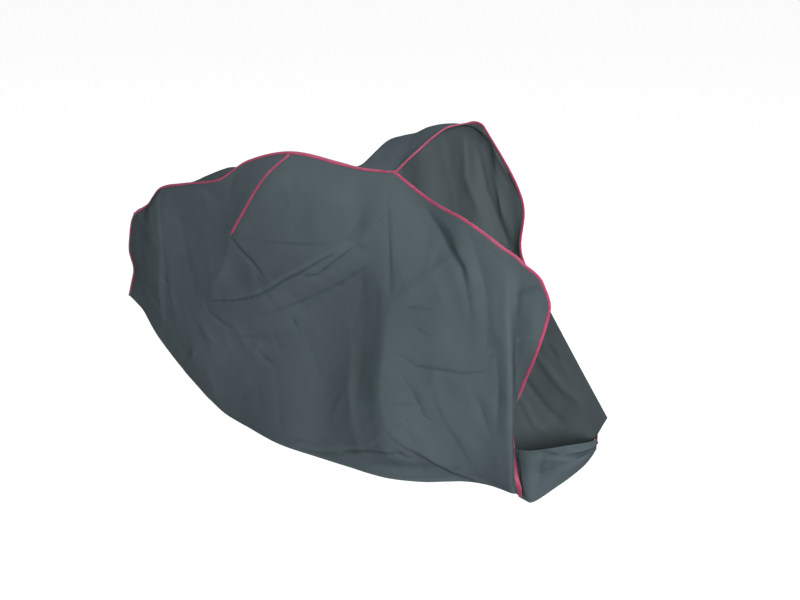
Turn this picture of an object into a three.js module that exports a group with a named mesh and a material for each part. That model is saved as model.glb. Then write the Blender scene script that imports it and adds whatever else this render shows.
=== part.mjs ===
import * as THREE from 'three';

// Fitted bicycle cover, opened at the front: two draped side panels sewn along a bound spine,
// a bound dart on the near panel, bound front edges and a toe gusset across the front foot.
// Millimetres, +X forward, +Y to the far side, +Z up. The tables count X from the middle of the
// length and Z from the floor; the whole part is then moved so that the seat is at the origin.
const CLOTH = 2;
const GAP = 0.8;
const BINDING_WIDTH = 13;
const BINDING_THICKNESS = 5;
const SPINE_WIDTH = 10;
const CELL = 44;
const FLOOR = 3;
const FLOOR_BEND = 9;
const SEAT = { x: -168, z: 903 };
const NEAR = -1;
const FAR = 1;

// Spine seam from the top of the tail to the apex: x, sideways shift, z.
const SPINE = [
  [-788, 0, 638],
  [-724, 0, 680],
  [-676, 0, 735],
  [-545, -18, 775],
  [-400, -34, 811],
  [-325, -12, 864],
  [-168, 0, 910],
  [10, 0, 894],
  [88, 0, 888],
  [178, 0, 891],
];
const SPINE_HALF = SPINE_WIDTH / 2 + CLOTH + GAP;

// Share of the way from the top edge to the hem at which a section gives its outward distance.
const LEVELS = [0, 0.08, 0.25, 0.45, 0.65, 0.85, 1];
const LEVEL_CELLS = [4, 4, 5, 5, 5, 4];

// Level number at which the binding of the far front edge goes out of sight and ends.
const FAR_BINDING_END = 3.4;

// The tail edge is common to both panels: it runs down from the first spine point.
const TAIL = {
  out: [SPINE_HALF, SPINE_HALF, SPINE_HALF, SPINE_HALF, SPINE_HALF],
  hem: [-848, SPINE_HALF, 334],
  fore: [-8, -12, -10, 13, 7],
};

// Near panel: a row for each section. The first rows hang from the spine points in turn, the
// later ones give their own top, the middle of the binding on the front edge. Hem and top are
// x, out, z; out, fore and rise are the outward distance, the shift forward and the lift at the
// five middle levels.
const NEAR_ROWS = [
  TAIL,
  { out: [24, 33, 36, 36, 32], hem: [-776, 28, 300] },
  { out: [36, 48, 52, 54, 50], hem: [-716, 50, 242] },
  { out: [52, 66, 72, 76, 74], hem: [-602, 62, 132] },
  { out: [70, 86, 93, 96, 95], hem: [-470, 84, 46] },
  { out: [70, 100, 102, 102, 108], hem: [-340, 108, -10] },
  { out: [84, 120, 113, 110, 138], hem: [-150, 168, -20] },
  { out: [84, 113, 106, 111, 148], hem: [20, 184, -24] },
  { out: [74, 110, 112, 138, 175], hem: [130, 192, -26] },
  { out: [70, 114, 142, 179, 205], hem: [250, 198, -22], fore: [10, 20, 12, -9, 10] },
  { top: [326, 55, 837], out: [78, 122, 155, 174, 180], hem: [372, 168, -14] },
  { top: [430, 88, 813], out: [108, 140, 160, 166, 152], hem: [462, 124, -4] },
  { top: [505, 100, 780], out: [117, 143, 157, 158, 136], hem: [548, 106, 0] },
  { top: [560, 102, 747], out: [115, 140, 151, 150, 136], hem: [620, 118, 2], fore: [12, 22, 28, 24, 14] },
  { top: [590, 103, 734], out: [111, 126, 128, 125, 122], hem: [628, 116, 2], fore: [2, 6, 5, 3, -2] },
  { top: [619, 104, 713], out: [106, 112, 110, 104, 112], hem: [634, 114, 2], fore: [-4, -12, -14, -21, -17] },
  { top: [660, 104, 685], out: [106, 116, 106, 91, 104], hem: [643, 121, 3], fore: [0, -12, -42, -47, -31] },
  { top: [693, 104, 620], out: [107, 118, 99, 78, 97], hem: [649, 125, 4], fore: [-1, -17, -50, -66, -34] },
];

// Far panel: as above. Its front part is tented out over the raised shoulder peak.
const FAR_ROWS = [
  TAIL,
  { out: [26, 40, 46, 46, 38], hem: [-776, 28, 300] },
  { out: [40, 62, 70, 72, 62], hem: [-712, 52, 240] },
  { out: [50, 66, 74, 80, 80], hem: [-595, 72, 126], rise: [46, 20, 0, 0, 0] },
  { out: [34, 84, 96, 104, 106], hem: [-455, 100, 40], rise: [84, 50, 10, 0, 0] },
  { out: [66, 104, 116, 118, 122], hem: [-335, 126, -10], rise: [24, 10, 0, 0, 0] },
  { out: [84, 124, 144, 154, 164], hem: [-150, 172, -20] },
  { out: [90, 152, 180, 184, 182], hem: [0, 186, -22], rise: [-24, -10, 0, 0, 0], fore: [-10, -10, 0, 0, 0] },
  {
    out: [236, 250, 226, 202, 188],
    hem: [105, 190, -22],
    rise: [108, 60, 20, 0, 0],
    fore: [-27, -26, -16, 0, 0],
  },
  {
    out: [252, 268, 245, 215, 195],
    hem: [190, 192, -22],
    rise: [133, 70, 20, 0, 0],
    fore: [-42, -36, -26, -10, 0],
  },
  {
    top: [216, 100, 945],
    out: [262, 278, 255, 222, 198],
    hem: [300, 190, -20],
    rise: [101, 58, 15, 0, 0],
    fore: [-50, -35, -20, 0, 0],
  },
  {
    top: [254, 200, 990],
    out: [268, 284, 262, 230, 202],
    hem: [410, 186, -16],
    rise: [77, 46, 10, 0, 0],
    fore: [-10, -10, -10, 0, 0],
  },
  { top: [300, 246, 1000], out: [272, 286, 262, 232, 194], hem: [545, 134, -8], rise: [56, 40, 10, 0, 0] },
  {
    top: [325, 252, 1003],
    out: [269, 281, 262, 220, 158],
    hem: [720, 122, 3],
    rise: [20, 15, 5, 0, 0],
    fore: [8, 10, -40, -40, -15],
  },
  {
    top: [340, 252, 1000],
    out: [262, 272, 248, 206, 152],
    hem: [828, 104, 196],
    rise: [0, -36, -24, 0, 0],
    fore: [4, 13, -74, -66, -32],
  },
];

// Folds seen from the side: each runs from one x, z to another and lifts (or sinks) the cloth.
const NEAR_FOLDS = [
  { from: [-370, 425], to: [-180, 470], width: 56, depth: 9 },
  { from: [-190, 466], to: [160, 695], width: 58, depth: 13 },
  { from: [-150, 390], to: [170, 600], width: 74, depth: -14 },
  { from: [-175, 880], to: [-360, 600], width: 50, depth: 10 },
  { from: [-352, 600], to: [-285, 480], width: 46, depth: -7 },
  { from: [-668, 700], to: [-630, 400], width: 56, depth: 2 },
  { from: [-560, 690], to: [-540, 330], width: 64, depth: -3 },
  { from: [330, 810], to: [430, 640], width: 52, depth: -12 },
  { from: [425, 650], to: [490, 430], width: 52, depth: -12 },
  { from: [150, 48], to: [500, 30], width: 40, depth: -22 },
];
const FAR_FOLDS = [
  { from: [150, 900], to: [230, 330], width: 46, depth: -16 },
  { from: [290, 900], to: [380, 380], width: 42, depth: -18 },
  { from: [380, 860], to: [450, 420], width: 36, depth: 12 },
  { from: [-320, 760], to: [-60, 420], width: 60, depth: 12 },
];

// Toe gusset from the near seam round the front to the tip seam: foot and rim points, belly out.
const TOE_ROWS = [
  { foot: [667, -128, 4], rim: [613, -88, 141], belly: 2 },
  { foot: [684, -130, 3], rim: [666, -106, 158], belly: 9 },
  { foot: [750, -96, 57], rim: [742, -92, 182], belly: 14 },
  { foot: [786, -78, 92], rim: [786, -74, 193], belly: 11 },
  { foot: [812, -48, 118], rim: [815, -45, 192], belly: 8 },
  { foot: [820, -6, 126], rim: [823, -5, 180], belly: 6 },
  { foot: [815, 44, 114], rim: [816, 45, 152], belly: 4 },
  { foot: [805, 90, 96], rim: [806, 90, 131], belly: 0 },
];
const TOE_ROLL = 9;
const TOE_DIP = 6;

// Ends of the dart on the near panel: section number and share of the way down.
const DART_CLEARANCE = 1.2;
const DART = { from: [6, 0.016], to: [5, 0.226] };

const cloth = new THREE.MeshStandardMaterial({ color: 0x444c53, roughness: 0.72, metalness: 0 });
const binding = new THREE.MeshStandardMaterial({ color: 0xb3234b, roughness: 0.6, metalness: 0 });

function mix(a, b, t) {
  return a + (b - a) * t;
}

// Points of one section, from its top to its hem, on one side of the cover.
function sectionPoints(row, top, side) {
  const last = LEVELS.length - 1;
  return LEVELS.map((level, k) => {
    if (k === 0) {
      return new THREE.Vector3(top[0], side * top[1], top[2]);
    }
    if (k === last) {
      return new THREE.Vector3(row.hem[0], side * row.hem[1], row.hem[2]);
    }
    const fore = row.fore ? row.fore[k - 1] : 0;
    const rise = row.rise ? row.rise[k - 1] : 0;
    const x = mix(top[0], row.hem[0], level) + fore;
    const z = mix(top[2], row.hem[2], level) + rise;
    return new THREE.Vector3(x, side * row.out[k - 1], z);
  });
}

function smoothCurve(points) {
  return new THREE.CatmullRomCurve3(points, false, 'centripetal');
}

// Outward lift of the folds at a point seen from the side.
function foldLift(folds, x, z) {
  let lift = 0;
  for (const fold of folds) {
    const dx = fold.to[0] - fold.from[0];
    const dz = fold.to[1] - fold.from[1];
    const along = ((x - fold.from[0]) * dx + (z - fold.from[1]) * dz) / (dx * dx + dz * dz);
    const held = Math.min(1, Math.max(0, along));
    const away = Math.hypot(x - fold.from[0] - held * dx, z - fold.from[1] - held * dz) / fold.width;
    const taper = Math.sin(Math.PI * mix(0.12, 0.88, held));
    lift += fold.depth * taper * Math.exp(-away * away);
  }
  return lift;
}

// Cloth that would go below the floor lies on it, with a soft bend.
function layOnFloor(z) {
  const height = (z - FLOOR) / FLOOR_BEND;
  return height > 20 ? z : FLOOR + FLOOR_BEND * Math.log(1 + Math.exp(height));
}

// A draped panel as a function of section number and level number.
function panelSurface(rows, folds, side) {
  const spineTops = SPINE.map(([x, shift, z]) => [x, side * shift + SPINE_HALF, z]);
  const tops = rows.map((row, i) => row.top || spineTops[i]);
  const sections = rows.map((row, i) => sectionPoints(row, tops[i], side));
  sections.filter((points, i) => rows[i].top).forEach((points) => {
    const inward = points[1].clone().sub(points[0]).normalize();
    points[0].addScaledVector(inward, BINDING_WIDTH / 2 + GAP);
  });
  const apex = SPINE.length - 1;
  const last = rows.length - 1;
  const spine = smoothCurve(sections.slice(0, apex + 1).map((points) => points[0]));
  const edge = smoothCurve(sections.slice(apex).map((points) => points[0]));
  const lines = LEVELS.slice(1).map((level, k) => smoothCurve(sections.map((points) => points[k + 1])));
  const point = (u, v) => {
    const top = u <= apex ? spine.getPoint(u / apex) : edge.getPoint((u - apex) / (last - apex));
    const section = smoothCurve([top, ...lines.map((line) => line.getPoint(u / last))]);
    const found = section.getPoint(v / (LEVELS.length - 1));
    const free = Math.min(1, v) * (u < 1 ? u : 1);
    found.y += side * free * foldLift(folds, found.x, found.z);
    found.z = layOnFloor(found.z);
    return found;
  };
  const steps = [0];
  for (let i = 0; i < last; i += 1) {
    const span = sections[i][3].distanceTo(sections[i + 1][3]);
    const held = i < apex ? sections[i][0].distanceTo(sections[i + 1][0]) : span;
    const count = Math.max(2, Math.round(held / CELL));
    for (let k = 1; k <= count; k += 1) {
      steps.push(i + k / count);
    }
  }
  const levels = [0];
  LEVEL_CELLS.forEach((count, i) => {
    for (let k = 1; k <= count; k += 1) {
      levels.push(i + k / count);
    }
  });
  return { point, steps, levels, apex: steps.indexOf(apex) };
}

function gridPoints(surface) {
  return surface.steps.map((u) => surface.levels.map((v) => surface.point(u, v)));
}

// Outward unit normals of a grid; turn is 1 or -1 so that they point away from the hollow.
function gridNormals(grid, turn) {
  const lastU = grid.length - 1;
  const lastV = grid[0].length - 1;
  return grid.map((column, i) => column.map((point, j) => {
    const along = grid[Math.min(i + 1, lastU)][j].clone().sub(grid[Math.max(i - 1, 0)][j]);
    const down = column[Math.min(j + 1, lastV)].clone().sub(column[Math.max(j - 1, 0)]);
    return along.cross(down).multiplyScalar(turn).normalize();
  }));
}

// Closed solid from triangles that are turned outwards as a whole.
function solidGeometry(points, triangles) {
  let volume = 0;
  for (const [a, b, c] of triangles) {
    volume += points[a].dot(points[b].clone().cross(points[c]));
  }
  const index = triangles.flatMap(([a, b, c]) => (volume < 0 ? [a, c, b] : [a, b, c]));
  const geometry = new THREE.BufferGeometry();
  geometry.setAttribute('position', new THREE.Float32BufferAttribute(points.flatMap((p) => p.toArray()), 3));
  geometry.setIndex(index);
  geometry.computeVertexNormals();
  return geometry;
}

// A sheet of cloth: the grid is its outside, and the inside lies one thickness in.
function sheetSolid(grid, normals) {
  const columns = grid.length;
  const levels = grid[0].length;
  const outside = grid.flat();
  const inside = outside.map((p, k) => p.clone().addScaledVector(normals.flat()[k], -CLOTH));
  const shift = outside.length;
  const at = (i, j) => i * levels + j;
  const triangles = [];
  for (let i = 0; i < columns - 1; i += 1) {
    for (let j = 0; j < levels - 1; j += 1) {
      const [a, b, c, d] = [at(i, j), at(i + 1, j), at(i + 1, j + 1), at(i, j + 1)];
      const slope = outside[a].distanceTo(outside[c]) <= outside[b].distanceTo(outside[d]);
      const pair = slope ? [[a, b, c], [a, c, d]] : [[a, b, d], [b, c, d]];
      for (const [p, q, r] of pair) {
        triangles.push([p, q, r], [p + shift, r + shift, q + shift]);
      }
    }
  }
  const rim = [];
  for (let i = 0; i < columns - 1; i += 1) {
    rim.push([at(i, 0), at(i + 1, 0)], [at(i + 1, levels - 1), at(i, levels - 1)]);
  }
  for (let j = 0; j < levels - 1; j += 1) {
    rim.push([at(columns - 1, j), at(columns - 1, j + 1)], [at(0, j + 1), at(0, j)]);
  }
  for (const [a, b] of rim) {
    triangles.push([b, a, a + shift], [b, a + shift, b + shift]);
  }
  return solidGeometry([...outside, ...inside], triangles);
}

// A flat bead of binding along a line of places, each with its width direction and its normal.
function beadSolid(places, width, thickness) {
  const corners = 8;
  const points = [];
  for (const place of places) {
    for (let k = 0; k < corners; k += 1) {
      const angle = (2 * Math.PI * (k + 0.5)) / corners;
      const across = (Math.cos(angle) * width) / 2;
      const up = (Math.sin(angle) * thickness) / 2;
      points.push(place.centre.clone().addScaledVector(place.across, across).addScaledVector(place.normal, up));
    }
  }
  const triangles = [];
  for (let i = 0; i < places.length - 1; i += 1) {
    for (let k = 0; k < corners; k += 1) {
      const next = (k + 1) % corners;
      const [a, b] = [i * corners + k, i * corners + next];
      triangles.push([a, b, b + corners], [a, b + corners, a + corners]);
    }
  }
  const end = (places.length - 1) * corners;
  for (let k = 1; k < corners - 1; k += 1) {
    triangles.push([0, k + 1, k], [end, end + k, end + k + 1]);
  }
  return solidGeometry(points, triangles);
}

// Places of a bead that lies beyond a cloth edge: edge points, points one cell in, and normals.
function edgePlaces(edge, inner, normals, width) {
  const last = edge.length - 1;
  return edge.map((point, i) => {
    const along = edge[Math.min(i + 1, last)].clone().sub(edge[Math.max(i - 1, 0)]).normalize();
    const across = point.clone().sub(inner[i]);
    across.addScaledVector(along, -across.dot(along)).normalize();
    const normal = along.clone().cross(across).normalize();
    const centre = point.clone().addScaledVector(normals[i], -CLOTH / 2);
    centre.addScaledVector(across, width / 2 + GAP);
    return { centre, across, normal };
  });
}

// Edge of a panel from the apex along the front: along its top to the corner, then down its front.
function frontEdge(grid, normals, apex, downTo) {
  const last = grid.length - 1;
  const edge = [];
  const inner = [];
  const outward = [];
  for (let i = apex; i < last; i += 1) {
    edge.push(grid[i][0]);
    inner.push(grid[i][1]);
    outward.push(normals[i][0]);
  }
  for (let j = 0; j <= downTo; j += 1) {
    edge.push(grid[last][j]);
    inner.push(j === 0 ? grid[last - 1][1] : grid[last - 1][j]);
    outward.push(normals[last][j]);
  }
  return { edge, inner, outward };
}

// The spine bead fills the gap between the two panels from the tail hem up and on to the apex.
function spinePlaces(near, far, apex) {
  const middle = (a, b) => a.clone().add(b).multiplyScalar(0.5);
  const path = [];
  for (let j = near[0].length - 1; j > 0; j -= 1) {
    path.push(middle(near[0][j], far[0][j]));
  }
  for (let i = 0; i <= apex; i += 1) {
    path.push(middle(near[i][0], far[i][0]));
  }
  path[path.length - 1].x -= BINDING_WIDTH / 2;
  return path.map((centre, i) => {
    const along = path[Math.min(i + 1, path.length - 1)].clone().sub(path[Math.max(i - 1, 0)]).normalize();
    const across = new THREE.Vector3(0, 1, 0).addScaledVector(along, -along.y).normalize();
    return { centre, across, normal: along.clone().cross(across) };
  });
}

// Places of the dart's bead, which lies on the outer face of the near panel.
function dartPlaces(surface, panel) {
  const levelNumber = (share) => {
    const k = LEVELS.findIndex((level) => level > share) - 1;
    return k + (share - LEVELS[k]) / (LEVELS[k + 1] - LEVELS[k]);
  };
  const count = 20;
  const path = [];
  for (let i = 0; i <= count; i += 1) {
    const u = mix(DART.from[0], DART.to[0], i / count);
    const v = levelNumber(mix(DART.from[1], DART.to[1], i / count));
    const along = surface.point(u + 0.1, v).sub(surface.point(u - 0.1, v));
    const down = surface.point(u, v + 0.1).sub(surface.point(u, v - 0.1));
    const normal = down.cross(along).normalize();
    const above = surface.point(u, v).addScaledVector(normal, 60);
    const hit = new THREE.Raycaster(above, normal.clone().negate()).intersectObject(panel)[0];
    path.push({ point: hit.point, normal });
  }
  return path.map((place, i) => {
    const along = path[Math.min(i + 1, count)].point.clone().sub(path[Math.max(i - 1, 0)].point).normalize();
    const across = along.clone().cross(place.normal).normalize();
    const normal = across.clone().cross(along).normalize();
    const centre = place.point.clone().addScaledVector(normal, BINDING_THICKNESS / 2 + DART_CLEARANCE);
    return { centre, across, normal };
  });
}

// The toe gusset: rows along its length, levels from foot to rim, rolled outwards near the rim.
function toeGrid() {
  const last = TOE_ROWS.length - 1;
  const foot = smoothCurve(TOE_ROWS.map((row) => new THREE.Vector3(...row.foot)));
  const rim = smoothCurve(TOE_ROWS.map((row) => new THREE.Vector3(...row.rim)));
  const columns = 24;
  const levels = 12;
  const grid = [];
  for (let i = 0; i <= columns; i += 1) {
    const u = i / columns;
    const row = Math.min(Math.floor(u * last), last - 1);
    const belly = mix(TOE_ROWS[row].belly, TOE_ROWS[row + 1].belly, u * last - row);
    const tangent = rim.getTangent(u);
    const outward = new THREE.Vector3(tangent.y, -tangent.x, 0).normalize();
    const ease = Math.sin(Math.PI * mix(0.06, 0.94, u));
    const column = [];
    for (let j = 0; j <= levels; j += 1) {
      const v = j / levels;
      const roll = TOE_ROLL * Math.exp(-(((v - 0.84) / 0.1) ** 2));
      const dip = TOE_DIP * Math.exp(-(((v - 0.6) / 0.1) ** 2));
      const lift = belly * Math.sin(Math.PI * v) + ease * (roll - dip);
      column.push(foot.getPoint(u).lerp(rim.getPoint(u), v).addScaledVector(outward, lift));
    }
    grid.push(column);
  }
  return grid;
}

function mesh(name, geometry, material) {
  const made = new THREE.Mesh(geometry, material);
  made.name = name;
  return made;
}

const nearSurface = panelSurface(NEAR_ROWS, NEAR_FOLDS, NEAR);
const farSurface = panelSurface(FAR_ROWS, FAR_FOLDS, FAR);
const nearGrid = gridPoints(nearSurface);
const farGrid = gridPoints(farSurface);
const nearNormals = gridNormals(nearGrid, -1);
const farNormals = gridNormals(farGrid, 1);
const toe = toeGrid();
const toeNormals = gridNormals(toe, 1);

const nearEdge = frontEdge(nearGrid, nearNormals, nearSurface.apex, nearGrid[0].length - 1);
const farEnd = farSurface.levels.findIndex((level) => level >= FAR_BINDING_END);
const farEdge = frontEdge(farGrid, farNormals, farSurface.apex, farEnd);
const nearPlaces = edgePlaces(nearEdge.edge, nearEdge.inner, nearEdge.outward, BINDING_WIDTH);
const farPlaces = edgePlaces(farEdge.edge, farEdge.inner, farEdge.outward, BINDING_WIDTH);
const tip = toe.length - 1;
const tipPlaces = edgePlaces(toe[tip], toe[tip - 1], toeNormals[tip], SPINE_WIDTH);

const nearPanel = mesh('side_panel_near', sheetSolid(nearGrid, nearNormals), cloth);
const spineBead = beadSolid(spinePlaces(nearGrid, farGrid, nearSurface.apex), SPINE_WIDTH, BINDING_THICKNESS);
const dartBead = beadSolid(dartPlaces(nearSurface, nearPanel), SPINE_WIDTH, BINDING_THICKNESS);

const cover = new THREE.Group();
cover.add(nearPanel);
cover.add(mesh('side_panel_far', sheetSolid(farGrid, farNormals), cloth.clone()));
cover.add(mesh('toe_gusset', sheetSolid(toe, toeNormals), cloth.clone()));
cover.add(mesh('binding_spine', spineBead, binding));
cover.add(mesh('binding_dart', dartBead, binding.clone()));
cover.add(mesh('binding_near_edge', beadSolid(nearPlaces, BINDING_WIDTH, BINDING_THICKNESS), binding.clone()));
cover.add(mesh('binding_far_edge', beadSolid(farPlaces, BINDING_WIDTH, BINDING_THICKNESS), binding.clone()));
cover.add(mesh('binding_toe_tip', beadSolid(tipPlaces, SPINE_WIDTH, BINDING_THICKNESS), binding.clone()));
cover.position.set(-SEAT.x, 0, -SEAT.z);

const part = new THREE.Group();
part.name = 'bicycle_cover';
part.add(cover);
export default part;
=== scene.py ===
import math

import bmesh
import bpy
import numpy as np
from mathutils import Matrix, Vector
from mathutils.bvhtree import BVHTree


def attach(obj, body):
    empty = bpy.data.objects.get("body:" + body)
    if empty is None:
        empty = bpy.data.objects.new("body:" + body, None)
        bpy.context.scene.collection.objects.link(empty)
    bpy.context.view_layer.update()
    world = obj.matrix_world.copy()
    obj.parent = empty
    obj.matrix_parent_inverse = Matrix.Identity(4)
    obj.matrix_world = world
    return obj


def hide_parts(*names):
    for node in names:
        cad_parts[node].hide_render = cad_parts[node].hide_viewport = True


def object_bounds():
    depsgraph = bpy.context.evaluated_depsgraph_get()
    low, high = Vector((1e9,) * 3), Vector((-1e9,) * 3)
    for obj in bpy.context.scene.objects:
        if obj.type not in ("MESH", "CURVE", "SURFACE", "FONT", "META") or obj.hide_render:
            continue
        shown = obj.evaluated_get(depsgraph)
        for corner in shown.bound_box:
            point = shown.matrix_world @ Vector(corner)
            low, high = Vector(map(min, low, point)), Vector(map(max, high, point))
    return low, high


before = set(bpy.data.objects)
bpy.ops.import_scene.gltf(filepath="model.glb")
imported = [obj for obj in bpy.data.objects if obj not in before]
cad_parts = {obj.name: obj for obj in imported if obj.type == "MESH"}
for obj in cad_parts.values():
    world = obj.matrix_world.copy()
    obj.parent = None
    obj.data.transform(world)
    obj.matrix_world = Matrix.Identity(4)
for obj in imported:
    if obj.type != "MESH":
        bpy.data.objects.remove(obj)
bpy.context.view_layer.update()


# Near side panel. One cut piece of coated plain-weave polyester, 1.2 mm with its coating and hem.
# It hangs from the spine seam, is pushed out to a tent by what it covers, and its plain hem lies
# on the floor. Its front edge goes under a folded tape.
CLOTH_THICKNESS = 0.0012
CLOTH_CELL = 0.0055
CLOTH_SHARP = math.radians(60)
# How far the cloth goes in under its tapes, and how far in from a seam its folds fade.
UNDER_TAPE = 0.005
SEAM_HOLD = 0.035
THREAD_PITCH = 0.0014
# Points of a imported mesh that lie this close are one.
SAME_POINT = 1e-6
# Between neighbours on a sheet's outer face, the least cosine of their turn.
OUTER_TURN = 0.6
# How far a point stands off its neighbours where the ridges' wear and painted highlight, or the troughs'
# painted shade, is full.
FULL_MARK_BEND = 0.0005
SLATE = (0.0214, 0.0283, 0.0310, 1)
# Lighter slate: worn patches and grain, and on ridges wear and a painted highlight.
SLATE_WORN_AND_HIGHLIT = (0.0338, 0.0412, 0.0493, 1)
# Deeper slate: the weave, and in troughs painted shade.
SLATE_SHADE_AND_WEAVE = (0.0137, 0.0197, 0.0214, 1)
# The inner face's slate, raised to offset the shade that falls inside the cover: painted light.
SLATE_INNER = (0.0227, 0.0287, 0.0306, 1)
# How much of the lighter colour worn patches, grain and the ridges' wear and painted highlight bring, and
# the weave of the deeper colour, which also paints the troughs' shade.
RIDGE_WEAR_AND_HIGHLIGHT_SHARE = 0.12
WORN_SHARE = 0.9
GRAIN_SHARE = 0.10
WEAVE_SHARE = 0.12
CLOTH_ROUGH = 0.68
CLOTH_SPECULAR = 0.02

# A crease is rounded over at its line, fades to its ends, and wavers in depth along its length.
CREASE_ROUND = 0.004
CREASE_END = 0.06
CREASE_FADE = 0.8
CREASE_WAVER = 0.2
CREASE_END_FLANK = 0.45
# Its waves in radians over its length, and where any wave may start.
CREASE_WAVES = (5, 9)
ANY_PHASE = (0, 6)
# The small folds from handling: how many to a square metre, how long and how wide.
HANDLED_COUNT = 240
HANDLED_LENGTH = (0.03, 0.11)
HANDLED_WIDTH = (0.020, 0.060)
NEAR_HANDLED_DEPTH = 0.0011
# A point that the outer face looks at, then the tail and front ends of its top, and its tail's hem.
NEAR_OUTSIDE = (0.1, -1.0, -0.5)
NEAR_CORNERS = [(-0.620, -0.008, -0.265), (0.862, -0.105, -0.286), (-0.680, -0.008, -0.569)]
# How far the front corner is drawn in towards its neighbours, as a share.
CORNER_ROUND = 0.4

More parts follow.
